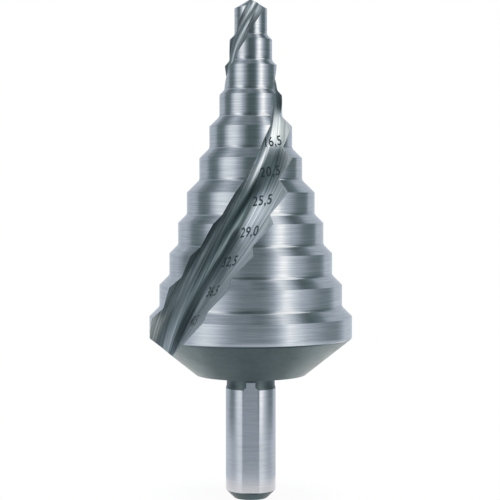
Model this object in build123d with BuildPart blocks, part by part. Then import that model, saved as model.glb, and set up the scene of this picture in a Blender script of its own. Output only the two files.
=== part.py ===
from build123d import *
from math import cos, degrees, log, pi, radians, sin, sqrt, tan
import os

os.makedirs("parts", exist_ok=True)

# Driving sizes in millimetres and degrees. The drill's axis is Z and its shank end stands on
# z = 0. Angles about Z are counted from +X towards +Y, and the front of the drill faces -Y.

# Shank, with three flats that stop it from slipping in a chuck
shank_diameter = 10.0
shank_length = 22.1
shank_end_chamfer = 1.65
flat_count = 3
flat_width = 3.2
flat_length = 23.6
first_flat_direction = -90.0

# Neck and the back of the head
neck_diameter = 9.65
neck_length = 2.7
neck_taper_length = 0.6
back_face_diameter = 22.0
back_cone_height = 7.4
rim_edge_radius = 0.4

# Steps from the point down: the hole diameter that each one cuts, and the height of its land
steps = [
    (6.5, 5.5),
    (8.5, 4.1),
    (10.5, 4.8),
    (12.5, 4.3),
    (16.5, 4.3),
    (20.5, 4.3),
    (25.5, 4.3),
    (29.0, 4.3),
    (32.5, 4.3),
    (36.5, 4.3),
    (40.5, 4.3),
]
step_face_angle = 45.0
step_root_radius = 1.0

# Point with two ground flanks that fall away behind their lips
point_angle = 118.0
lip_clearance = 7.0
flank_lead = 7.0

# Flutes: conical spirals that steepen towards the head, right-hand cutting
flute_count = 2
lip_direction = 74.0
helix_at_point = 25.7
helix_at_head = 36.7
rake_angle = 3.0
web_at_point = 0.8
floor_share = 0.763
flute_root_share = 0.22
flute_reach = 1.5
turn_per_section = 12.0

# Radii and heights that follow from the sizes above
shank_radius = shank_diameter / 2
neck_radius = neck_diameter / 2
head_start = shank_length + neck_length
rim_height = head_start + back_cone_height
rim_radius = steps[-1][0] / 2
point_radius = steps[0][0] / 2


def step_levels():
    """Radius, lower height and upper height of each land, from the rim up to the point."""
    levels = []
    height = rim_height
    for index in range(len(steps) - 1, -1, -1):
        diameter, land = steps[index]
        levels.append((diameter / 2, height, height + land))
        if index > 0:
            narrowing = (diameter - steps[index - 1][0]) / 2
            height += land + narrowing / tan(radians(step_face_angle))
    return levels


levels = step_levels()
point_base = levels[-1][2]
point_slope = 1 / tan(radians(point_angle / 2))

# Each flank is a cone whose axis stands beside the drill's, ahead of its lip
flank_offset = point_radius * tan(radians(lip_clearance)) / point_slope
lip_outer_reach = point_radius + flank_offset * sin(radians(flank_lead))
flank_apex = point_base + lip_outer_reach * point_slope
chisel_height = flank_apex - flank_offset * point_slope
flank_start = point_base - 2 * flank_offset * point_slope

# The mean cone runs through the middle of the first land and the middle of the last
first_middle = (levels[-1][1] + levels[-1][2]) / 2
last_middle = (levels[0][1] + levels[0][2]) / 2
cone_taper = (rim_radius - point_radius) / (first_middle - last_middle)
lip_radius = point_radius + (first_middle - point_base) * cone_taper
tip_radius = point_radius + (first_middle - chisel_height) * cone_taper

# The tangent of the helix angle grows evenly with the mean cone's radius
helix_growth = (tan(radians(helix_at_head)) - tan(radians(helix_at_point))) / (rim_radius - point_radius)
helix_start = tan(radians(helix_at_point)) - helix_growth * point_radius


def cone_height(radius):
    return first_middle - (radius - point_radius) / cone_taper


def rake_direction(radius):
    """Angle of the rake face about Z, in degrees, where the mean cone has this radius."""
    swept = helix_start * log(radius / lip_radius) + helix_growth * (radius - lip_radius)
    return lip_direction - degrees(swept / cone_taper)


def floor_distance(radius):
    return web_at_point / 2 + floor_share * (radius - tip_radius)


# Body, turned from one profile up to just below the point
with BuildPart() as step_drill:
    with BuildSketch(Plane.XZ) as profile:
        with BuildLine():
            outline = [
                (0, 0),
                (shank_radius - shank_end_chamfer, 0),
                (shank_radius, shank_end_chamfer),
                (shank_radius, shank_length),
                (neck_radius, shank_length + neck_taper_length),
                (neck_radius, head_start),
                (back_face_diameter / 2, head_start),
            ]
            for radius, low, high in levels[:-1]:
                outline += [(radius, low), (radius, high)]
            outline += [(point_radius, levels[-1][1]), (point_radius, flank_start), (0, flank_start)]
            Polyline(*outline, close=True)
        make_face()
        step_roots = [(radius, low) for radius, low, high in levels[1:]]
        for radius, height in step_roots:
            fillet(profile.vertices().sort_by_distance((radius, height))[0], step_root_radius)
        fillet(profile.vertices().sort_by_distance((rim_radius, rim_height))[0], rim_edge_radius)
    revolve(axis=Axis.Z)

# One flank of the point: half of its cone, cut off where the other flank begins
parting_direction = radians(lip_direction + flank_lead)
parting_normal = (-sin(parting_direction), cos(parting_direction))
cone_depth = flank_apex - flank_start + point_radius
with BuildPart() as flank:
    with Locations(
        (
            flank_offset * parting_normal[0],
            flank_offset * parting_normal[1],
            flank_apex - cone_depth / 2,
        )
    ):
        Cone(bottom_radius=cone_depth / point_slope, top_radius=0, height=cone_depth)
    split(bisect_by=Plane(origin=(0, 0, 0), z_dir=(*parting_normal, 0)), keep=Keep.BOTTOM)

with BuildPart() as point:
    for index in range(flute_count):
        add(flank.part.rotate(Axis.Z, index * 360 / flute_count))
    with Locations((0, 0, flank_start)):
        Cylinder(
            point_radius,
            flank_apex - flank_start,
            align=(Align.CENTER, Align.CENTER, Align.MIN),
            mode=Mode.INTERSECT,
        )

# Flute cutter, lofted through one section for each few degrees of turn. In a section, local X
# runs outwards along the rake face and local Y crosses the flute towards the heel
narrow_end = 0.9 * tip_radius
wide_end = rim_radius + back_cone_height
full_turn = rake_direction(narrow_end) - rake_direction(wide_end)
section_count = round(full_turn / turn_per_section)
rake = radians(rake_angle)
with BuildPart() as flute_cutter:
    for index in range(section_count + 1):
        radius = narrow_end * (wide_end / narrow_end) ** (index / section_count)
        floor = floor_distance(radius)
        reach = flute_reach * radius
        corner = -(radius - floor) * tan(rake)
        setback = flute_root_share * radius / tan((pi / 2 - rake) / 2)
        rake_end = (reach, corner + (reach - floor) * tan(rake))
        rake_tangent = (floor + setback * cos(rake), corner + setback * sin(rake))
        floor_tangent = (floor, corner + setback)
        place = Location((0, 0, cone_height(radius)), (0, 0, rake_direction(radius)))
        with BuildSketch(Plane(place)):
            with BuildLine():
                Line(rake_end, rake_tangent)
                TangentArc(rake_tangent, floor_tangent, tangent=(-cos(rake), -sin(rake)))
                Polyline(floor_tangent, (floor, reach), (reach, reach), rake_end)
            make_face()
    loft()

# The point is fused on, then the flutes and the flats are cut
flat_distance = sqrt(shank_radius**2 - (flat_width / 2) ** 2)
with step_drill:
    add(point.part)
    for index in range(flute_count):
        add(flute_cutter.part.rotate(Axis.Z, index * 360 / flute_count), mode=Mode.SUBTRACT)
    with PolarLocations(flat_distance, flat_count, start_angle=first_flat_direction):
        Box(
            shank_radius,
            shank_diameter,
            flat_length,
            align=(Align.MIN, Align.CENTER, Align.MIN),
            mode=Mode.SUBTRACT,
        )

step_drill.part.label = "step_drill"
export_step(step_drill.part, "parts/step_drill.step")
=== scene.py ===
import math
from functools import lru_cache

import bmesh
import bpy
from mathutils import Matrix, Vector


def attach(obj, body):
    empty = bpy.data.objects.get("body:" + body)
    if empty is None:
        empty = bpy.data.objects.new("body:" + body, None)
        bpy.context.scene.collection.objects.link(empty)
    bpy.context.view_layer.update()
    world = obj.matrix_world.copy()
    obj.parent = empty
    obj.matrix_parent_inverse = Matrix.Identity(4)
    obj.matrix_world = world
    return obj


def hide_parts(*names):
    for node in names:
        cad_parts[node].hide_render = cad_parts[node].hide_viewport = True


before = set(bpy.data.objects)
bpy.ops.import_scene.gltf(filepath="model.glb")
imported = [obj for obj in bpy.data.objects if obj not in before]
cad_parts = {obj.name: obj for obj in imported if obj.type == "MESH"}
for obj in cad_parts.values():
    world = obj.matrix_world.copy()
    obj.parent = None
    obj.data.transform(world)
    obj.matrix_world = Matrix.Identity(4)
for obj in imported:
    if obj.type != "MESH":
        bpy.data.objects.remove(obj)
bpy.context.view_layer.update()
mm = 0.001


def addNode(tree, kind, values=None, links=None, **settings):
    # values and links are keyed by the input's name or number
    node = tree.nodes.new(kind)
    for name, value in settings.items():
        setattr(node, name, value)
    for key, value in (values or {}).items():
        node.inputs[key].default_value = value
    for key, socket in (links or {}).items():
        tree.links.new(socket, node.inputs[key])
    return node


def linearColour(hexCode):
    parts = [int(hexCode[i:i + 2], 16) / 255 for i in (1, 3, 5)]
    return [c / 12.92 if c <= 0.04045 else ((c + 0.055) / 1.055) ** 2.4 for c in parts] + [1.0]


def addObject(name, data):
    thing = bpy.data.objects.new(name, data)
    bpy.context.scene.collection.objects.link(thing)
    return thing


# Camera: a long lens, a little above the middle of the drill
cameraSettings = {
    "aimHeight": 49.7 * mm,
    "aimAcross": -0.15 * mm,
    "elevation": 2.25,
    "distance": 290 * mm,
    "focalPixels": 1450,
    "framePixels": 500,
    "sensorWidth": 36.0,
}


def placeCamera(settings):
    lens = bpy.data.cameras.new("camera")
    lens.sensor_width = settings["sensorWidth"]
    lens.lens = settings["focalPixels"] / settings["framePixels"] * settings["sensorWidth"]
    lens.clip_start = 10 * mm
    camera = addObject("camera", lens)
    rise = math.radians(settings["elevation"])
    back = Vector((0, -math.cos(rise), math.sin(rise)))
    aim = Vector((settings["aimAcross"], 0, settings["aimHeight"]))
    camera.location = aim + back * settings["distance"]
    camera.rotation_euler = (-back).to_track_quat("-Z", "Y").to_euler()
    bpy.context.scene.camera = camera


placeCamera(cameraSettings)
print("camera placed")

# Drill sizes in millimetres and degrees, from the shank end at height 0 up to the point
drillSizes = {
    "shankDiameter": 10.0,
    "shankLength": 22.1,
    "endChamfer": 1.65,
    "flatCount": 3,
    "flatWidth": 3.2,
    "flatLength": 23.6,
    "flatDirection": -90.0,
    "neckDiameter": 9.65,
    "neckLength": 2.7,
    "neckTaper": 0.6,
    "backDiameter": 22.0,
    "backHeight": 7.4,
    "rimEdge": 0.4,
    # hole diameter and land height of each step, from the point down
    "steps": [
        (6.5, 5.5), (8.5, 4.1), (10.5, 4.8), (12.5, 4.3), (16.5, 4.3), (20.5, 4.3),
        (25.5, 4.3), (29.0, 4.3), (32.5, 4.3), (36.5, 4.3), (40.5, 4.3),
    ],
    "faceAngle": 45.0,
    "stepRoot": 1.0,
    "pointAngle": 118.0,
    "lipClearance": 7.0,
    "flankLead": 7.0,
    "lipDirection": 74.0,
    "helixAtPoint": 25.7,
    "helixAtHead": 36.7,
    "rakeAngle": 3.0,
    "webAtPoint": 0.8,
    "floorShare": 0.763,
    "rootShare": 0.22,
    # extra root radius at the point, and the growth in the mean cone's radius over which it fades
    "tipRoot": 1.2,
    "tipRootFade": 4.0,
    # mesh columns along one land, across a flute's rake face, root and floor, and across a shank flat
    "landColumns": 45,
    "rakeColumns": 9,
    "rootColumns": 14,
    "floorColumns": 13,
    "flatColumns": 12,
    # most winding between two rings, distance within which points merge, angle of a sharp edge
    "turnPerRow": 2.5,
    "mergeDistance": 0.002,
    "sharpEdge": 30.0,
}


def workOutDrill(sizes):
    # heights and radii that follow from the sizes above
    full = dict(sizes)
    full["headStart"] = sizes["shankLength"] + sizes["neckLength"]
    full["rimHeight"] = full["headStart"] + sizes["backHeight"]
    full["rimRadius"] = sizes["steps"][-1][0] / 2
    full["pointRadius"] = sizes["steps"][0][0] / 2
    height = full["rimHeight"]
    full["lands"] = []
    for number in range(len(sizes["steps"]) - 1, -1, -1):
        diameter, land = sizes["steps"][number]
        full["lands"].append((diameter / 2, height, height + land))
        if number > 0:
            narrowing = (diameter - sizes["steps"][number - 1][0]) / 2
            height += land + narrowing / math.tan(math.radians(sizes["faceAngle"]))
    full["pointBase"] = full["lands"][-1][2]
    full["pointSlope"] = 1 / math.tan(math.radians(sizes["pointAngle"] / 2))
    clearance = math.tan(math.radians(sizes["lipClearance"]))
    full["flankOffset"] = full["pointRadius"] * clearance / full["pointSlope"]
    lipReach = full["pointRadius"] + full["flankOffset"] * math.sin(math.radians(sizes["flankLead"]))
    full["flankApex"] = full["pointBase"] + lipReach * full["pointSlope"]
    full["chiselHeight"] = full["flankApex"] - full["flankOffset"] * full["pointSlope"]
    full["flankStart"] = full["pointBase"] - 2 * full["flankOffset"] * full["pointSlope"]
    full["firstMiddle"] = sum(full["lands"][-1][1:]) / 2
    lastMiddle = sum(full["lands"][0][1:]) / 2
    full["taper"] = (full["rimRadius"] - full["pointRadius"]) / (full["firstMiddle"] - lastMiddle)
    full["lipRadius"] = full["pointRadius"] + (full["firstMiddle"] - full["pointBase"]) * full["taper"]
    full["tipRadius"] = full["pointRadius"] + (full["firstMiddle"] - full["chiselHeight"]) * full["taper"]
    tangents = [math.tan(math.radians(sizes[name])) for name in ("helixAtPoint", "helixAtHead")]
    full["helixGrowth"] = (tangents[1] - tangents[0]) / (full["rimRadius"] - full["pointRadius"])
    full["helixStart"] = tangents[0] - full["helixGrowth"] * full["pointRadius"]
    full["flatDistance"] = math.sqrt((sizes["shankDiameter"] / 2) ** 2 - (sizes["flatWidth"] / 2) ** 2)
    full["fluteColumns"] = sizes["rakeColumns"] + sizes["rootColumns"] + sizes["floorColumns"]
    full["halfColumns"] = full["landColumns"] + full["fluteColumns"]
    full["allColumns"] = 2 * full["halfColumns"]
    full["columnsPerFlat"] = full["allColumns"] // sizes["flatCount"]
    return full


drill = workOutDrill(drillSizes)


def coneRadiusAt(height):
    return drill["pointRadius"] + (drill["firstMiddle"] - height) * drill["taper"]


def turnAt(height):
    # how far the flutes have turned at this height, in radians
    radius = coneRadiusAt(max(height, drill["headStart"]))
    swept = drill["helixStart"] * math.log(radius / drill["lipRadius"])
    swept += drill["helixGrowth"] * (radius - drill["lipRadius"])
    return math.radians(drill["lipDirection"]) - swept / drill["taper"]


@lru_cache(maxsize=None)
def fluteSection(height):
    # the L of a flute before winding: x runs out along the rake, y across to the heel
    cone = coneRadiusAt(height)
    rake = math.radians(drill["rakeAngle"])
    floor = drill["webAtPoint"] / 2 + drill["floorShare"] * (cone - drill["tipRadius"])
    fade = max(0.0, 1 - (cone - drill["tipRadius"]) / drill["tipRootFade"])
    root = drill["rootShare"] * cone + drill["tipRoot"] * fade
    floorStart = -(cone - floor) * math.tan(rake) + root / math.tan((math.pi / 2 - rake) / 2)
    return floor, root, floorStart, rake


def flutePoint(height, s):
    # s is the length along the section: 0 where the floor meets the rounded root, less on the rake
    floor, root, floorStart, rake = fluteSection(height)
    if s >= 0:
        return floor, floorStart + s
    arc = root * (math.pi / 2 + rake)
    angle = min(-s, arc) / root
    beyond = max(0.0, -s - arc)
    x = floor + root * (1 - math.cos(angle)) + beyond * math.cos(rake)
    y = floorStart - root * math.sin(angle) + beyond * math.sin(rake)
    return x, y


@lru_cache(maxsize=None)
def fluteSpan(radius, height, halvings=34):
    # where the section leaves a circle of this radius, on the rake side and on the heel side
    floor, root, floorStart, _ = fluteSection(height)
    deepest = -root * math.atan2(floorStart, floor + root) if floorStart > 0 else -floorStart
    if math.hypot(*flutePoint(height, deepest)) >= radius:
        return deepest, deepest
    ends = []
    for side in (-1, 1):
        inside, outside = 0.0, 2 * radius + 2 * root
        for _ in range(halvings):
            middle = (inside + outside) / 2
            if math.hypot(*flutePoint(height, deepest + side * middle)) < radius:
                inside = middle
            else:
                outside = middle
        ends.append(deepest + side * inside)
    return tuple(ends)


def fluteColumn(index, radius, height):
    # length along the section at one mesh column: the rake, root and floor each have their share
    low, high = fluteSpan(radius, height)
    _, root, _, rake = fluteSection(height)
    knots = [low, min(max(low, -root * (math.pi / 2 + rake)), high), max(low, min(0.0, high)), high]
    for number, name in enumerate(("rakeColumns", "rootColumns", "floorColumns")):
        if index <= drill[name]:
            return knots[number] + (knots[number + 1] - knots[number]) * index / drill[name]
        index -= drill[name]
    return high


def spun(x, y, angle):
    return x * math.cos(angle) - y * math.sin(angle), x * math.sin(angle) + y * math.cos(angle)


def headPoint(column, radius, height):
    # one point of a ring of the head, before winding, with how far round or across it lies
    half, index = divmod(column, drill["halfColumns"])
    turned = math.pi * half
    low, high = fluteSpan(radius, height)
    if index < drill["fluteColumns"]:
        s = fluteColumn(index, radius, height)
        x, y = flutePoint(height, s)
        if low == high:
            away = math.hypot(x, y)
            x, y = x * radius / away, y * radius / away
        return (*spun(x, y, turned), s)
    edge, heel = [math.atan2(*flutePoint(height, s)[::-1]) for s in (low, high)]
    share = (index - drill["fluteColumns"]) / drill["landColumns"]
    angle = turned + heel + (edge + math.pi - heel) * share
    return (*spun(radius, 0, angle), radius * angle)


def flatPlace(column):
    # which flat's third of the shank a column is in, and where in it; the columns that come down
    # from between the flutes are shared out so that winding brings the flats to their places
    floor, root, floorStart, _ = fluteSection(drill["headStart"])
    halfFlute = math.pi * drill["fluteColumns"] / drill["allColumns"]
    fluteMiddle = math.atan2(floorStart, floor + root) + halfFlute
    start = math.radians(drill["flatDirection"]) - turnAt(0)
    shift = round((fluteMiddle - start) * drill["halfColumns"] / math.pi - drill["fluteColumns"])
    return divmod((column + shift) % drill["allColumns"], drill["columnsPerFlat"]), start


def shankPoint(column, radius, flats):
    # one point of a round ring, with or without the three flats
    (flat, index), start = flatPlace(column)
    reach = math.acos(min(1.0, drill["flatDistance"] / radius))
    turnPerFlat = 2 * math.pi / drill["flatCount"]
    centre = start + turnPerFlat * flat
    if index < drill["flatColumns"]:
        share = 2 * index / drill["flatColumns"] - 1
        if flats:
            across = radius * math.sin(reach) * share
            return (*spun(radius * math.cos(reach), across, centre), radius * centre + across)
        angle = centre + reach * share
    else:
        share = (index - drill["flatColumns"]) / (drill["columnsPerFlat"] - drill["flatColumns"])
        angle = centre + reach + (turnPerFlat - 2 * reach) * share
    return (*spun(radius, 0, angle), radius * angle)


def flankHeight(x, y):
    # the point's two flanks are cones that stand ahead of their lips
    parting = math.radians(drill["lipDirection"] + drill["flankLead"])
    aheadX, aheadY = -math.sin(parting), math.cos(parting)
    offset = drill["flankOffset"] if x * aheadX + y * aheadY <= 0 else -drill["flankOffset"]
    away = math.hypot(x - offset * aheadX, y - offset * aheadY)
    return drill["flankApex"] - away * drill["pointSlope"]


def flankPoint(column, radius, share, rounds=10):
    # height of a point on its way from the first land up to the flank, which share 1 reaches;
    # winding turns it to another place on the flank, so it is settled in rounds
    height = drill["pointBase"]
    for _ in range(rounds):
        x, y, _ = headPoint(column, radius, height)
        top = flankHeight(*spun(x, y, turnAt(height)))
        height = drill["flankStart"] + (top - drill["flankStart"]) * share
    return height


def pointRing(radius, share):
    # the land's columns follow the flank, and a flute's run evenly from its lip to its heel
    heights = []
    count = drill["fluteColumns"]
    for first in (0, drill["halfColumns"]):
        lip, heel = [flankPoint(column, radius, share) for column in (first, first + count)]
        heights += [lip + (heel - lip) * index / count for index in range(count)]
        landColumns = range(first + count, first + drill["halfColumns"])
        heights += [flankPoint(column, radius, share) for column in landColumns]
    return [(*headPoint(column, radius, height), height) for column, height in enumerate(heights)]


def headRing(radius, height):
    return [(*headPoint(column, radius, height), height) for column in range(drill["allColumns"])]


def shankRing(radius, height, flats=True):
    return [(*shankPoint(column, radius, flats), height) for column in range(drill["allColumns"])]


def shankRings():
    # each ring comes with the finish of the band above it, and whether flutes cross that band
    shankRadius, neckRadius = drill["shankDiameter"] / 2, drill["neckDiameter"] / 2
    # how far up the end's chamfer the flats begin
    flatShare = 1 - (shankRadius - drill["flatDistance"]) / drill["endChamfer"]
    rings = []
    for share in (0, flatShare / 2, flatShare, (2 * flatShare + 1) / 3, (flatShare + 2) / 3):
        radius = shankRadius - drill["endChamfer"] * (1 - share)
        rings.append((shankRing(radius, drill["endChamfer"] * share), "skin", False))
    for height in (drill["endChamfer"], drill["shankLength"] / 2):
        rings.append((shankRing(shankRadius, height), "shank", False))
    rings.append((shankRing(shankRadius, drill["shankLength"]), "neckFlats", False))
    rings.append((shankRing(neckRadius, drill["shankLength"] + drill["neckTaper"]), "neckFlats", False))
    rings.append((shankRing(neckRadius, drill["flatLength"]), "neck", False))
    rings.append((shankRing(neckRadius, drill["flatLength"], flats=False), "neck", False))
    rings.append((shankRing(neckRadius, drill["headStart"], flats=False), "skin", False))
    return rings


def backRings(rows=30, edgeRows=4):
    # coned back, with a rounded edge into the rim
    backRadius, edge = drill["backDiameter"] / 2, drill["rimEdge"]
    spread = math.atan2(drill["rimRadius"] - backRadius, drill["backHeight"])
    setback = edge * math.tan(spread / 2)
    coneRadius = drill["rimRadius"] - setback * math.sin(spread)
    coneHeight = drill["backHeight"] - setback * math.cos(spread)
    rings = []
    for row in range(rows):
        share = row / rows
        radius = backRadius + (coneRadius - backRadius) * share
        rings.append((headRing(radius, drill["headStart"] + coneHeight * share), "skin", True))
    for row in range(edgeRows):
        tilt = spread * (1 - row / edgeRows)
        radius = drill["rimRadius"] - edge * (1 - math.cos(tilt))
        height = drill["rimHeight"] + setback - edge * math.sin(tilt)
        finish = "skin" if row < edgeRows / 2 else "ground"
        rings.append((headRing(radius, height), finish, True))
    return rings, drill["rimHeight"] + setback


def landRings(rimStart, fewestRows=5, faceRows=3, rootRows=6):
    # lands, each with a sloped face above it and a rounded root at the foot of the next
    slope = math.radians(drill["faceAngle"])
    rootSetback = drill["stepRoot"] * math.tan(slope / 2)
    rings = []
    start = rimStart
    for number, (radius, _, high) in enumerate(drill["lands"]):
        last = number == len(drill["lands"]) - 1
        top = drill["flankStart"] if last else high
        winding = math.degrees(turnAt(top) - turnAt(start))
        rows = max(fewestRows, math.ceil(winding / drill["turnPerRow"]))
        for row in range(rows):
            rings.append((headRing(radius, start + (top - start) * row / rows), "ground", True))
        if last:
            break
        above, foot = drill["lands"][number + 1][:2]
        faceEnd = (above + rootSetback * math.sin(slope), foot - rootSetback * math.cos(slope))
        for row in range(faceRows):
            share = row / faceRows
            across = radius + (faceEnd[0] - radius) * share
            rings.append((headRing(across, high + (faceEnd[1] - high) * share), "face", True))
        for row in range(rootRows):
            tilt = slope * (1 - row / rootRows)
            across = above + drill["stepRoot"] * (1 - math.cos(tilt))
            height = foot + rootSetback - drill["stepRoot"] * math.sin(tilt)
            rings.append((headRing(across, height), "face", True))
        start = foot + rootSetback
    return rings


def tipRings(landShares=(0.002, 0.35, 0.7), flankRows=12):
    # up the end of the smallest land, then in over the flanks
    rings = []
    for share in landShares:
        rings.append((pointRing(drill["pointRadius"], share), "ground", True))
    for row in range(flankRows):
        rings.append((pointRing(drill["pointRadius"] * (1 - row / flankRows), 1), "ground", True))
    return rings


finishes = ["ground", "face", "flute", "skin", "neck", "shank"]


def straightDrill():
    # stacks the rings into one closed mesh whose flutes are still straight
    fromBack, rimStart = backRings()
    rings = shankRings() + fromBack + landRings(rimStart) + tipRings()
    columns = drill["allColumns"]
    vertices, spots = [(0, 0, 0)], [(0, 0)]
    for ring, _, _ in rings:
        vertices += [(x, y, height) for x, y, _, height in ring]
        spots += [(height, s) for _, _, s, height in ring]
    top = len(vertices)
    vertices.append((0, 0, drill["chiselHeight"]))
    spots.append((drill["chiselHeight"], 0))
    faces, numbers = [], []
    for column in range(columns):
        after = (column + 1) % columns
        faces.append((0, 1 + after, 1 + column))
        numbers.append(finishes.index("skin"))
        inFlute = column % drill["halfColumns"] < drill["fluteColumns"]
        onFlat = flatPlace(column)[0][1] < drill["flatColumns"]
        for row, (_, finish, fluted) in enumerate(rings[:-1]):
            below, above = 1 + row * columns, 1 + (row + 1) * columns
            faces.append((below + column, below + after, above + after, above + column))
            if finish == "neckFlats":
                finish = "shank" if onFlat else "neck"
            numbers.append(finishes.index("flute" if inFlute and fluted else finish))
        last = 1 + (len(rings) - 1) * columns
        faces.append((last + column, last + after, top))
        numbers.append(finishes.index("ground"))
    mesh = bpy.data.meshes.new("straightDrill")
    mesh.from_pydata([Vector(v) * mm for v in vertices], [], faces)
    mesh.attributes.new("finish", "INT", "FACE").data.foreach_set("value", numbers)
    along = mesh.uv_layers.new(name="alongFlute")
    for loop in mesh.loops:
        along.data[loop.index].uv = spots[loop.vertex_index]
    shape = bmesh.new()
    shape.from_mesh(mesh)
    bmesh.ops.remove_doubles(shape, verts=shape.verts, dist=drill["mergeDistance"] * mm)
    bmesh.ops.recalc_face_normals(shape, faces=shape.faces)
    shape.to_mesh(mesh)
    shape.free()
    return mesh


# Finishes of the one high-speed steel. Lines are the marks that the wheel left: their spacing and
# length are in metres on object coordinates and in millimetres on the flute's own map. Real ones are
# about 0.05 mm apart, too fine to show, and so they are drawn five to eight times as coarse

# cylindrically ground lands: bright, with fine level rings that streak the reflections
groundLook = {
    "name": "steelCylinderGround",
    "colour": "#D9DADC", "worn": "#BFC1C3",
    "roughness": (0.10, 0.17), "contrast": (0.32, 0.68),
    "lineSpacing": 0.30 * mm, "lineLength": 9 * mm, "lineDepth": 0.0011 * mm, "lineStrength": 0.35,
}

# form-ground step faces: as bright as the lands but a shade greyer, with shorter marks
faceLook = {
    "name": "steelFormGround",
    "colour": "#D0D2D4", "worn": "#B8BABD",
    "roughness": (0.12, 0.19), "contrast": (0.32, 0.68),
    "lineSpacing": 0.30 * mm, "lineLength": 6 * mm, "lineDepth": 0.0011 * mm, "lineStrength": 0.3,
}

# creep-feed ground flutes: long marks along the spiral that break a reflection into streaks. The
# start of the floor is brightest. The rake face, the heel side and the tip are duller, and painted
# shade greys the root and the rake face of the lower flute, the heel side higher up, and the point
fluteLook = {
    "name": "steelCreepFeedGround",
    "colour": "#EEF1F3", "worn": "#929A9C",
    "roughness": (0.16, 0.25), "contrast": (0.34, 0.66),
    "lineSpacing": 0.4, "lineLength": 20, "lineDepth": 0.0016 * mm, "lineStrength": 0.5,
    # grey of the painted shade that darkens parts of the flute
    "scale": "#8A9696",
    # where each painted shade fades in and out across the flute, and in up the drill to how much of it
    "rootPaintedShadeScale": ((-4.6, -2.2), (1.8, 0.4), (67, 61, 1.0)),
    "rakePaintedShadeScale": ((-12, -11), (-3.5, -6.0), (43, 35, 0.65)),
    "heelPaintedShadeScale": ((0.9, 1.9), (4.2, 3.0), (64, 69, 0.6)),
    "tipHeelPaintedShadeScale": ((0.4, 1.2), (9, 8), (75.5, 78.5, 0.7)),
    "tipRakePaintedShadeScale": ((-9, -8), (-2.2, -2.8), (77, 80, 0.5)),
    "tipRoughness": 0.34, "tipFrom": (78, 84),
    "rakeRoughness": 0.33, "rakeFrom": (-0.2, -1.6), "heelRoughness": 0.52, "heelFrom": (2.0, 6.0),
}

# hardened skin on the back and on the shank's end, not ground after: nearly matt, with a faint mottle
# instead of lines; its dark grey-green is painted shade on these downward-facing parts
skinLook = {
    "name": "steelHardenedSkin",
    "colour": "#4D5D61", "worn": "#485659",
    "roughness": (0.34, 0.40), "contrast": (0.32, 0.68),
    "lineSpacing": 0.9 * mm, "lineLength": 1.3 * mm, "lineDepth": 0.002 * mm, "lineStrength": 0.15,
}

# the same skin on the neck with painted light: paler than the back to lift it in the shade under the
# head, with faint rings
neckPaintedLightLook = {
    "name": "steelHardenedNeck",
    "colour": "#6C7777", "worn": "#667170",
    "roughness": (0.34, 0.40), "contrast": (0.32, 0.68),
    "lineSpacing": 0.4 * mm, "lineLength": 3 * mm, "lineDepth": 0.002 * mm, "lineStrength": 0.15,
}

# centreless ground shank: pale and even, with soft reflections and hardly a line
shankLook = {
    "name": "steelCentrelessGround",
    "colour": "#D7D7DA", "worn": "#CCCCD0",
    "roughness": (0.22, 0.27), "contrast": (0.32, 0.68),
    "lineSpacing": 0.24 * mm, "lineLength": 5 * mm, "lineDepth": 0.0005 * mm, "lineStrength": 0.2,
}


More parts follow.
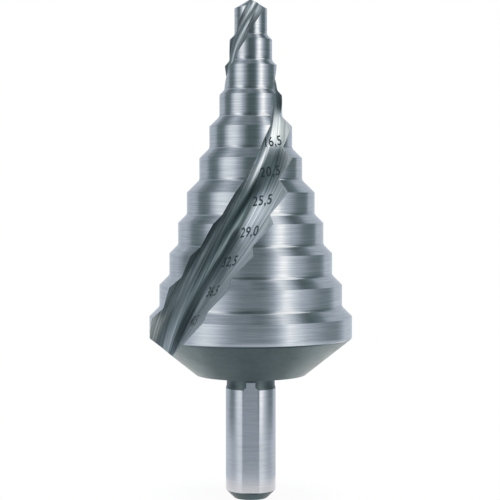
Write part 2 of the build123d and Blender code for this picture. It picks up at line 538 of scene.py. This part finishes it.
def steelMaterial(look, mapName=None):
    # the lines vary the steel's colour and height, and clouds about three lines wide vary its gloss
    material = bpy.data.materials.new(look["name"])
    material.use_nodes = True
    tree = material.node_tree
    tree.nodes.clear()
    spacing, length = look["lineSpacing"], look["lineLength"]
    if mapName:
        source = addNode(tree, "ShaderNodeUVMap", uv_map=mapName).outputs["UV"]
        scale = (1 / length, 1 / spacing, 1)
    else:
        source = addNode(tree, "ShaderNodeTexCoord").outputs["Object"]
        scale = (1 / length, 1 / length, 1 / spacing)
    mapping = addNode(tree, "ShaderNodeMapping", {"Scale": scale}, {"Vector": source})
    lines = addNode(tree, "ShaderNodeTexNoise", {"Scale": 1, "Detail": 4, "Roughness": 0.62},
                    {"Vector": mapping.outputs[0]})
    clouds = addNode(tree, "ShaderNodeTexNoise", {"Scale": 0.35, "Detail": 2},
                     {"Vector": mapping.outputs[0]})
    weakest, strongest = look["contrast"]
    contrast = addNode(tree, "ShaderNodeMapRange", {"From Min": weakest, "From Max": strongest},
                       {"Value": lines.outputs[0]})
    tones = {6: linearColour(look["worn"]), 7: linearColour(look["colour"])}
    blend = addNode(tree, "ShaderNodeMix", tones, {0: contrast.outputs[0]}, data_type="RGBA")
    thinnest, thickest = 0.3, 0.7  # nearly all of the clouds lie between these
    low, high = look["roughness"]
    gloss = addNode(tree, "ShaderNodeMapRange",
                    {"From Min": thinnest, "From Max": thickest, "To Min": low, "To Max": high},
                    {"Value": clouds.outputs[0]})
    colour, roughness = blend.outputs[2], gloss.outputs[0]
    if mapName:
        spot = addNode(tree, "ShaderNodeSeparateXYZ", links={0: source})

        def fade(output, start, end, most=1.0):
            rise = addNode(tree, "ShaderNodeMapRange", interpolation_type="SMOOTHSTEP",
                           values={"From Min": start, "From Max": end, "To Max": most},
                           links={"Value": spot.outputs[output]})
            return rise.outputs[0]

        # painted shade: the flute's colour is multiplied by that grey in its root, rake face, heel side
        # and point
        for name in [name for name in look if name.endswith("Scale")]:
            rising, falling, up = look[name]
            within = addNode(tree, "ShaderNodeMath", operation="MULTIPLY",
                             links={0: fade("Y", *rising), 1: fade("Y", *falling)})
            amount = addNode(tree, "ShaderNodeMath", operation="MULTIPLY",
                             links={0: within.outputs[0], 1: fade("X", *up)})
            paintedShade = addNode(tree, "ShaderNodeMix", {7: linearColour(look["scale"])},
                             {0: amount.outputs[0], 6: colour}, data_type="RGBA", blend_type="MULTIPLY")
            colour = paintedShade.outputs[2]
        for place, output in (("rake", "Y"), ("heel", "Y"), ("tip", "X")):
            dulled = addNode(tree, "ShaderNodeMix", {3: look[place + "Roughness"]},
                             {0: fade(output, *look[place + "From"]), 2: roughness})
            roughness = dulled.outputs[0]
    bump = addNode(tree, "ShaderNodeBump",
                   {"Strength": look["lineStrength"], "Distance": look["lineDepth"]},
                   {"Height": lines.outputs[0]})
    steel = addNode(tree, "ShaderNodeBsdfPrincipled", {"Metallic": 1.0},
                    {"Base Color": colour, "Roughness": roughness, "Normal": bump.outputs[0]})
    addNode(tree, "ShaderNodeOutputMaterial", links={"Surface": steel.outputs[0]})
    return material


materials = {
    "ground": steelMaterial(groundLook),
    "face": steelMaterial(faceLook),
    "flute": steelMaterial(fluteLook, "alongFlute"),
    "skin": steelMaterial(skinLook),
    "neck": steelMaterial(neckPaintedLightLook),
    "shank": steelMaterial(shankLook),
}
print("steel finishes made")

windInputs = {
    "Back Height": drill["headStart"] * mm,
    "First Middle": drill["firstMiddle"] * mm,
    "Point Radius": drill["pointRadius"] * mm,
    "Taper": drill["taper"],
    "Lip Radius": drill["lipRadius"] * mm,
    "Helix Start": drill["helixStart"],
    "Helix Growth": drill["helixGrowth"] / mm,
    "Lip Direction": math.radians(drill["lipDirection"]),
}


def newTree(name, inputs):
    # a Geometry Nodes tree with a named number input for each size
    tree = bpy.data.node_groups.new(name, "GeometryNodeTree")
    tree.interface.new_socket("Geometry", in_out="INPUT", socket_type="NodeSocketGeometry")
    tree.interface.new_socket("Geometry", in_out="OUTPUT", socket_type="NodeSocketGeometry")
    for label in inputs:
        tree.interface.new_socket(label, in_out="INPUT", socket_type="NodeSocketFloat")
    return tree, addNode(tree, "NodeGroupInput").outputs


def windTree():
    # turns every height about the axis by the law of the steepening conical spiral
    tree, given = newTree("windFlutes", windInputs)
    position = addNode(tree, "GeometryNodeInputPosition")
    parts = addNode(tree, "ShaderNodeSeparateXYZ", links={0: position.outputs[0]})
    # below the head the turn stays as it is at the head's back
    held = addNode(tree, "ShaderNodeMath", operation="MAXIMUM",
                   links={0: parts.outputs["Z"], 1: given["Back Height"]})
    down = addNode(tree, "ShaderNodeMath", operation="SUBTRACT",
                   links={0: given["First Middle"], 1: held.outputs[0]})
    cone = addNode(tree, "ShaderNodeMath", operation="MULTIPLY_ADD",
                   links={0: down.outputs[0], 1: given["Taper"], 2: given["Point Radius"]})
    ratio = addNode(tree, "ShaderNodeMath", operation="DIVIDE",
                    links={0: cone.outputs[0], 1: given["Lip Radius"]})
    logarithm = addNode(tree, "ShaderNodeMath", {1: math.e}, {0: ratio.outputs[0]}, operation="LOGARITHM")
    early = addNode(tree, "ShaderNodeMath", operation="MULTIPLY",
                    links={0: logarithm.outputs[0], 1: given["Helix Start"]})
    wider = addNode(tree, "ShaderNodeMath", operation="SUBTRACT",
                    links={0: cone.outputs[0], 1: given["Lip Radius"]})
    late = addNode(tree, "ShaderNodeMath", operation="MULTIPLY_ADD",
                   links={0: wider.outputs[0], 1: given["Helix Growth"], 2: early.outputs[0]})
    swept = addNode(tree, "ShaderNodeMath", operation="DIVIDE",
                    links={0: late.outputs[0], 1: given["Taper"]})
    turn = addNode(tree, "ShaderNodeMath", operation="SUBTRACT",
                   links={0: given["Lip Direction"], 1: swept.outputs[0]})
    rotated = addNode(tree, "ShaderNodeVectorRotate", rotation_type="Z_AXIS",
                      links={"Vector": position.outputs[0], "Angle": turn.outputs[0]})
    wound = addNode(tree, "GeometryNodeSetPosition",
                    links={"Geometry": given["Geometry"], "Position": rotated.outputs[0]})
    geometry = addNode(tree, "GeometryNodeRealizeInstances", links={0: wound.outputs[0]}).outputs[0]
    number = addNode(tree, "GeometryNodeInputNamedAttribute", {"Name": "finish"}, data_type="INT")
    for index, finish in enumerate(finishes):
        chosen = addNode(tree, "FunctionNodeCompare", {3: index}, {2: number.outputs["Attribute"]},
                         data_type="INT", operation="EQUAL")
        painted = addNode(tree, "GeometryNodeSetMaterial", {"Material": materials[finish]},
                          {"Geometry": geometry, "Selection": chosen.outputs[0]})
        geometry = painted.outputs[0]
    addNode(tree, "NodeGroupOutput", links={0: geometry})
    return tree


def runTree(thing, tree, values):
    # the modifier's result becomes a plain mesh, and the modifier goes
    modifier = thing.modifiers.new("shape", "NODES")
    modifier.node_group = tree
    for socket in tree.interface.items_tree:
        if socket.in_out == "INPUT" and socket.name in values:
            modifier[socket.identifier] = values[socket.name]
    depsgraph = bpy.context.evaluated_depsgraph_get()
    shaped = thing.evaluated_get(depsgraph)
    mesh = bpy.data.meshes.new_from_object(shaped, preserve_all_data_layers=True, depsgraph=depsgraph)
    thing.modifiers.clear()
    thing.data = mesh
    mesh.name = thing.name


body = addObject("drillBody", straightDrill())
runTree(body, windTree(), windInputs)
body.data.shade_smooth()
body.data.set_sharp_from_angle(angle=math.radians(drill["sharpEdge"]))
print("drill body wound,", len(body.data.polygons), "faces")

# Size marks burnt into the floor of the flute, one beside each of the larger steps. Lengths are in
# millimetres and angles in degrees
markSettings = {
    "digitHeight": 1.95,
    "capsPerSize": 0.73,  # a digit's height as a share of the font's size
    "spacing": 1.1,
    "outlinePoints": 40,
    "bold": 0.04,  # how far each outline grows
    "narrow": 0.8,
    "lean": 0.12,
    "lift": 0.012,  # off the floor, so that the steel doesn't show through
    "start": 30.0,  # how far in front of the axis a number stands before it is cast
    "colour": "#39464A",
    "metallic": 0.6,
    "roughness": (0.4, 0.6),
    "grain": 0.2,
    # text, way that the floor faces there from the front towards +X, place across, height, tilt
    "marks": [
        ("16,5", 16.9, 2.45, 71.1, 8),
        ("20,5", -1.9, 4.05, 65.2, 8),
        ("25,5", -18.0, 5.25, 59.6, 8),
        ("29,0", -33.7, 6.45, 53.6, 8),
        ("32,5", -47.9, 6.55, 47.9, 8),
        ("36,5", -61.2, 7.75, 42.2, 8),
        ("40,5", -73.8, 8.3, 36.5, 8),
    ],
}


def laserMaterial(settings):
    # laser-blackened steel: a dark oxide film with little gloss. Its pulses lie about 0.05 mm
    # apart, too fine to show, and so their grain is drawn four times as coarse
    material = bpy.data.materials.new("steelLaserMarked")
    material.use_nodes = True
    tree = material.node_tree
    tree.nodes.clear()
    place = addNode(tree, "ShaderNodeTexCoord")
    grain = addNode(tree, "ShaderNodeTexNoise", {"Scale": 1 / (settings["grain"] * mm), "Detail": 2},
                    {"Vector": place.outputs["Object"]})
    low, high = settings["roughness"]
    gloss = addNode(tree, "ShaderNodeMapRange", {"To Min": low, "To Max": high},
                    {"Value": grain.outputs[0]})
    film = addNode(tree, "ShaderNodeBsdfPrincipled",
                   {"Base Color": linearColour(settings["colour"]), "Metallic": settings["metallic"]},
                   {"Roughness": gloss.outputs[0]})
    addNode(tree, "ShaderNodeOutputMaterial", links={"Surface": film.outputs[0]})
    return material


def markTree(target, settings):
    # each number stands in front of the flute and is cast straight back on to its floor
    tree, given = newTree("sizeMarks", ["Digit Height", "Bold", "Lift"])
    steel = addNode(tree, "GeometryNodeObjectInfo", {"Object": target})
    position = addNode(tree, "GeometryNodeInputPosition")
    joined = addNode(tree, "GeometryNodeJoinGeometry")
    size = addNode(tree, "ShaderNodeMath", {1: settings["capsPerSize"]}, {0: given["Digit Height"]},
                   operation="DIVIDE")
    parts = addNode(tree, "ShaderNodeSeparateXYZ", links={0: position.outputs[0]})
    slant = addNode(tree, "ShaderNodeMath", {1: settings["lean"]}, {0: parts.outputs["Y"]},
                    operation="MULTIPLY")
    shear = addNode(tree, "ShaderNodeCombineXYZ", links={"X": slant.outputs[0]})
    along = addNode(tree, "GeometryNodeInputTangent")
    sideways = addNode(tree, "ShaderNodeVectorMath", {1: (0, 0, 1)}, {0: along.outputs[0]},
                       operation="CROSS_PRODUCT")
    stroke = addNode(tree, "ShaderNodeVectorMath", operation="SCALE",
                     links={0: sideways.outputs[0], "Scale": given["Bold"]})
    for text, facing, across, height, tilt in settings["marks"]:
        turn = math.radians(facing)
        letters = addNode(tree, "GeometryNodeStringToCurves", align_x="CENTER", align_y="MIDDLE",
                          values={"String": text, "Character Spacing": settings["spacing"]},
                          links={"Size": size.outputs[0]})
        real = addNode(tree, "GeometryNodeRealizeInstances", links={0: letters.outputs[0]})
        fine = addNode(tree, "GeometryNodeResampleCurve", {"Count": settings["outlinePoints"]},
                       {0: real.outputs[0]})
        bolder = addNode(tree, "GeometryNodeSetPosition",
                         links={"Geometry": fine.outputs[0], "Offset": stroke.outputs[0]})
        filled = addNode(tree, "GeometryNodeFillCurve", links={0: bolder.outputs[0]}, mode="TRIANGLES")
        leaning = addNode(tree, "GeometryNodeSetPosition",
                          links={"Geometry": filled.outputs[0], "Offset": shear.outputs[0]})
        narrowed = addNode(tree, "GeometryNodeTransform", {"Scale": (settings["narrow"], 1, 1)},
                           {0: leaning.outputs[0]})
        outX = across * math.cos(turn) + settings["start"] * math.sin(turn)
        outY = across * math.sin(turn) - settings["start"] * math.cos(turn)
        standing = addNode(tree, "GeometryNodeTransform", {
            "Translation": (outX * mm, outY * mm, height * mm),
            "Rotation": (math.pi / 2, math.radians(-tilt), turn),
        }, {0: narrowed.outputs[0]})
        back = (-math.sin(turn), math.cos(turn), 0)
        cast = addNode(tree, "GeometryNodeRaycast",
                       {"Ray Direction": back, "Ray Length": settings["start"] * mm},
                       {"Target Geometry": steel.outputs["Geometry"],
                        "Source Position": position.outputs[0]})
        lifted = addNode(tree, "ShaderNodeVectorMath", {0: [-part for part in back]},
                         {"Scale": given["Lift"]}, operation="SCALE")
        spot = addNode(tree, "ShaderNodeVectorMath", operation="ADD",
                       links={0: cast.outputs["Hit Position"], 1: lifted.outputs[0]})
        laid = addNode(tree, "GeometryNodeSetPosition",
                       links={"Geometry": standing.outputs[0], "Position": spot.outputs[0]})
        tree.links.new(laid.outputs[0], joined.inputs[0])
    plain = addNode(tree, "GeometryNodeRealizeInstances", links={0: joined.outputs[0]})
    dark = addNode(tree, "GeometryNodeSetMaterial", {"Material": laserMaterial(settings)},
                   {"Geometry": plain.outputs[0]})
    addNode(tree, "NodeGroupOutput", links={0: dark.outputs[0]})
    return tree


marks = addObject("sizeMarks", bpy.data.meshes.new("sizeMarks"))
runTree(marks, markTree(body, markSettings), {
    "Digit Height": markSettings["digitHeight"] * mm,
    "Bold": markSettings["bold"] * mm,
    "Lift": markSettings["lift"] * mm,
})
print("size marks cast on the flute,", len(marks.data.polygons), "faces")

for piece in (body, marks):
    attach(piece, "root")
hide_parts("step_drill")

# Studio: a white world, a pale floor, and a light tent whose dark and bright cloths the steel
# mirrors. The camera looks in through the tent, so the background stays the world's white
tentTones = {
    "white": "#F1F1EF", "bright": "#DCE0E3", "light": "#C4CACF", "soft": "#B4BBC3", "pale": "#A5ACB4",
    "silver": "#979FA8", "mid": "#87919A", "dull": "#788188", "slate": "#6C767C", "dim": "#626D72",
    "dark": "#566366", "deep": "#485456", "black": "#363F41",
}
studioSettings = {
    "tentRadius": 1.2,
    "tentStrength": 1.7,
    "floorRadius": 0.022,
    "floorHeight": -0.02 * mm,
    "floorColour": "#F2F2F2",
    "floorGlow": 0.95,
    "lampPower": 6.0,
    "lampSize": 0.5,
    "lampHeight": 0.7,
    # each cloth's azimuths, in degrees from the camera's side towards +X, and its tone there
    "under": [
        (-180, "white"), (-135, "white"), (-112, "silver"), (-80, "silver"), (-64, "dull"),
        (-40, "dim"), (-22, "dark"), (-6, "deep"), (70, "deep"), (84, "dark"), (105, "mid"),
        (135, "white"), (180, "white"),
    ],
    "skirt": [
        (-180, "pale"), (-150, "pale"), (-106, "pale"), (-88, "silver"), (-70, "pale"), (-58, "light"),
        (-44, "light"), (-30, "silver"), (-16, "silver"), (16, "silver"), (30, "pale"), (42, "light"),
        (50, "light"), (60, "light"), (80, "pale"), (95, "silver"), (122, "pale"), (150, "pale"),
        (180, "pale"),
    ],
    "low": [
        (-180, "pale"), (-148, "silver"), (-126, "silver"), (-117, "dull"), (-108, "dim"), (-90, "dim"),
        (-81, "dull"), (-72, "silver"), (-62, "soft"), (-52, "light"), (-43, "soft"), (-33, "silver"),
        (-23, "dull"), (-12, "slate"), (12, "slate"), (21, "dull"), (28, "mid"), (36, "soft"),
        (43, "bright"), (50, "light"), (56, "soft"), (65, "silver"), (77, "mid"), (88, "dull"),
        (98, "slate"), (112, "slate"), (123, "mid"), (132, "pale"), (180, "pale"),
    ],
    "high": [
        (-180, "pale"), (-140, "silver"), (-122, "silver"), (-112, "mid"), (-104, "dim"), (-92, "dark"),
        (-80, "dim"), (-74, "mid"), (-68, "pale"), (-59, "light"), (-46, "light"), (-36, "soft"),
        (-29, "silver"), (-20, "dull"), (-13, "dark"), (-5, "deep"), (12, "deep"), (20, "dark"),
        (28, "mid"), (34, "soft"), (40, "bright"), (45, "white"), (50, "white"), (56, "light"),
        (64, "pale"), (75, "mid"), (88, "dim"), (97, "dark"), (110, "dark"), (119, "dim"),
        (127, "silver"), (180, "pale"),
    ],
    "middle": [
        (-180, "pale"), (-140, "silver"), (-126, "silver"), (-114, "dull"), (-100, "dark"),
        (-86, "dark"), (-76, "mid"), (-67, "pale"), (-58, "bright"), (-51, "white"), (-44, "white"),
        (-37, "light"), (-31, "silver"), (-23, "dark"), (-12, "deep"), (-4, "black"), (8, "deep"),
        (16, "deep"), (23, "dim"), (29, "silver"), (36, "bright"), (43, "white"), (56, "white"),
        (63, "light"), (71, "mid"), (81, "dark"), (94, "deep"), (110, "dark"), (124, "dull"),
        (136, "silver"), (180, "pale"),
    ],
    "frontRoof": [
        (-180, "pale"), (-130, "silver"), (-115, "mid"), (-98, "mid"), (-84, "silver"), (-72, "soft"),
        (-60, "light"), (-48, "light"), (-38, "silver"), (-28, "dim"), (-14, "deep"), (8, "deep"),
        (20, "deep"), (29, "dim"), (36, "pale"), (43, "white"), (76, "white"), (86, "light"),
        (95, "dim"), (115, "dark"), (135, "dull"), (180, "silver"),
    ],
    "top": "dull",
    # degrees down from overhead over the back, below zero on the left side
    "backRoof": [
        (-90, "pale"), (-62, "mid"), (-54, "dull"), (-48, "slate"), (-43, "dark"), (-39, "dim"),
        (-35, "slate"), (-31, "mid"), (-25, "pale"), (-20, "silver"), (-14, "dull"), (-9, "slate"),
        (-4, "slate"), (0, "dim"), (4, "dim"), (9, "dark"), (12, "slate"), (16, "silver"),
        (20, "bright"), (24, "light"), (28, "silver"), (32, "dim"), (36, "deep"), (41, "dark"),
        (45, "dim"), (49, "mid"), (55, "silver"), (66, "pale"), (90, "pale"),
    ],
    # elevations, in degrees, over which one cloth gives way to the next
    "underToSkirt": (-18, -13),
    "skirtToLow": (-7.5, -5.5),
    "lowToHigh": (-5, 3),
    "highToMiddle": (8, 14),
    "middleToRoof": (31, 38),
    "roofToTop": (60, 74),
    # the front roof gives way to the back one where the direction's roofLean times z, plus y,
    # is between these, so the back roof comes further forward the higher it is
    "roofLean": 1.73,
    "frontToBack": (1.42, 1.54),
}


def fillRamp(ramp, stops, lowest, highest):
    # a colour ramp holds at most 32 stops, and keeps the two that it starts with
    elements = ramp.color_ramp.elements
    for number, (place, tone) in enumerate(stops):
        share = (place - lowest) / (highest - lowest)
        element = elements[number] if number < 2 else elements.new(share)
        element.position = share
        element.color = linearColour(tentTones[tone])


def tentMaterial(settings):
    # evenly glowing cloths, level bands of them and a roof, with soft edges that the steel mirrors
    material = bpy.data.materials.new("tentCloth")
    material.use_nodes = True
    tree = material.node_tree
    tree.nodes.clear()
    place = addNode(tree, "ShaderNodeTexCoord")
    direction = addNode(tree, "ShaderNodeVectorMath", links={0: place.outputs["Object"]},
                        operation="NORMALIZE")
    parts = addNode(tree, "ShaderNodeSeparateXYZ", links={0: direction.outputs[0]})
    front = addNode(tree, "ShaderNodeMath", {1: -1}, {0: parts.outputs["Y"]}, operation="MULTIPLY")
    azimuth = addNode(tree, "ShaderNodeMath", operation="ARCTAN2",
                      links={0: parts.outputs["X"], 1: front.outputs[0]})
    around = addNode(tree, "ShaderNodeMapRange", {"From Min": -math.pi, "From Max": math.pi},
                     {"Value": azimuth.outputs[0]})
    elevation = addNode(tree, "ShaderNodeMath", links={0: parts.outputs["Z"]}, operation="ARCSINE")
    fromTop = addNode(tree, "ShaderNodeMath", links={0: parts.outputs["Z"]}, operation="ARCCOSINE")
    side = addNode(tree, "ShaderNodeMath", links={0: parts.outputs["X"]}, operation="SIGN")
    sideways = addNode(tree, "ShaderNodeMath", operation="MULTIPLY",
                       links={0: fromTop.outputs[0], 1: side.outputs[0]})
    down = addNode(tree, "ShaderNodeMapRange", {"From Min": -math.pi / 2, "From Max": math.pi / 2},
                   {"Value": sideways.outputs[0]})
    cloths = {}
    for name in ("under", "skirt", "low", "high", "middle", "frontRoof"):
        cloths[name] = addNode(tree, "ShaderNodeValToRGB", links={0: around.outputs[0]})
        fillRamp(cloths[name], settings[name], -180, 180)
    cloths["backRoof"] = addNode(tree, "ShaderNodeValToRGB", links={0: down.outputs[0]})
    fillRamp(cloths["backRoof"], settings["backRoof"], -90, 90)

    def join(first, second, source, start, end):
        share = addNode(tree, "ShaderNodeMapRange", {"From Min": start, "From Max": end},
                        {"Value": source}, interpolation_type="SMOOTHSTEP")
        both = addNode(tree, "ShaderNodeMix", data_type="RGBA",
                       links={0: share.outputs[0], 6: first, 7: second})
        return both.outputs[2]

    top = addNode(tree, "ShaderNodeRGB")
    top.outputs[0].default_value = linearColour(tentTones[settings["top"]])
    start, end = [math.radians(angle) for angle in settings["roofToTop"]]
    frontRoof = join(cloths["frontRoof"].outputs[0], top.outputs[0], elevation.outputs[0], start, end)
    lean = addNode(tree, "ShaderNodeMath", {1: settings["roofLean"]},
                   {0: parts.outputs["Z"], 2: parts.outputs["Y"]}, operation="MULTIPLY_ADD")
    roof = join(frontRoof, cloths["backRoof"].outputs[0], lean.outputs[0], *settings["frontToBack"])
    cloth = cloths["under"].outputs[0]
    bands = {
        "underToSkirt": cloths["skirt"].outputs[0],
        "skirtToLow": cloths["low"].outputs[0],
        "lowToHigh": cloths["high"].outputs[0],
        "highToMiddle": cloths["middle"].outputs[0],
        "middleToRoof": roof,
    }
    for name, above in bands.items():
        start, end = [math.radians(angle) for angle in settings[name]]
        cloth = join(cloth, above, elevation.outputs[0], start, end)
    glow = addNode(tree, "ShaderNodeEmission", {"Strength": settings["tentStrength"]}, {"Color": cloth})
    addNode(tree, "ShaderNodeOutputMaterial", links={"Surface": glow.outputs[0]})
    return material


def floorMaterial(settings):
    # matt paper: the camera and the steel see it nearly as white as the world, with a soft shadow
    material = bpy.data.materials.new("paperFloor")
    material.use_nodes = True
    tree = material.node_tree
    tree.nodes.clear()
    ray = addNode(tree, "ShaderNodeLightPath")
    seen = addNode(tree, "ShaderNodeMath", operation="MAXIMUM",
                   links={0: ray.outputs["Is Camera Ray"], 1: ray.outputs["Is Glossy Ray"]})
    through = addNode(tree, "ShaderNodeMath", operation="MAXIMUM",
                      links={0: seen.outputs[0], 1: ray.outputs["Is Transmission Ray"]})
    share = addNode(tree, "ShaderNodeMath", {1: settings["floorGlow"]}, {0: through.outputs[0]},
                    operation="MULTIPLY")
    paper = addNode(tree, "ShaderNodeBsdfDiffuse", {"Color": linearColour(settings["floorColour"])})
    glow = addNode(tree, "ShaderNodeEmission", {"Strength": 1.0})
    mix = addNode(tree, "ShaderNodeMixShader",
                  links={0: share.outputs[0], 1: paper.outputs[0], 2: glow.outputs[0]})
    addNode(tree, "ShaderNodeOutputMaterial", links={"Surface": mix.outputs[0]})
    return material


def roundSheet(name, radius, height):
    # a flat disc of paper
    shape = bmesh.new()
    bmesh.ops.create_circle(shape, cap_ends=True, segments=96, radius=radius)
    bmesh.ops.translate(shape, verts=shape.verts, vec=(0, 0, height))
    mesh = bpy.data.meshes.new(name)
    shape.to_mesh(mesh)
    shape.free()
    return addObject(name, mesh)


def lightTent(settings):
    shape = bmesh.new()
    bmesh.ops.create_uvsphere(shape, u_segments=48, v_segments=24, radius=settings["tentRadius"])
    mesh = bpy.data.meshes.new("lightTent")
    shape.to_mesh(mesh)
    shape.free()
    tent = addObject("lightTent", mesh)
    tent.data.materials.append(tentMaterial(settings))
    tent.visible_camera = False
    return tent


def topLamp(settings):
    # lights the paper only: the steel's reflections come from the tent
    light = bpy.data.lights.new("topLamp", "AREA")
    light.shape = "DISK"
    light.size = settings["lampSize"]
    light.energy = settings["lampPower"]
    lamp = addObject("topLamp", light)
    lamp.location = (0, 0, settings["lampHeight"])
    lamp.visible_glossy = False


world = bpy.data.worlds.new("whiteStudio")
bpy.context.scene.world = world
world.use_nodes = True
world.node_tree.nodes["Background"].inputs["Color"].default_value = (1, 1, 1, 1)
floor = roundSheet("floor", studioSettings["floorRadius"], studioSettings["floorHeight"])
floor.data.materials.append(floorMaterial(studioSettings))
lightTent(studioSettings)
topLamp(studioSettings)
bpy.context.scene.view_settings.view_transform = "Standard"
print("studio lit")
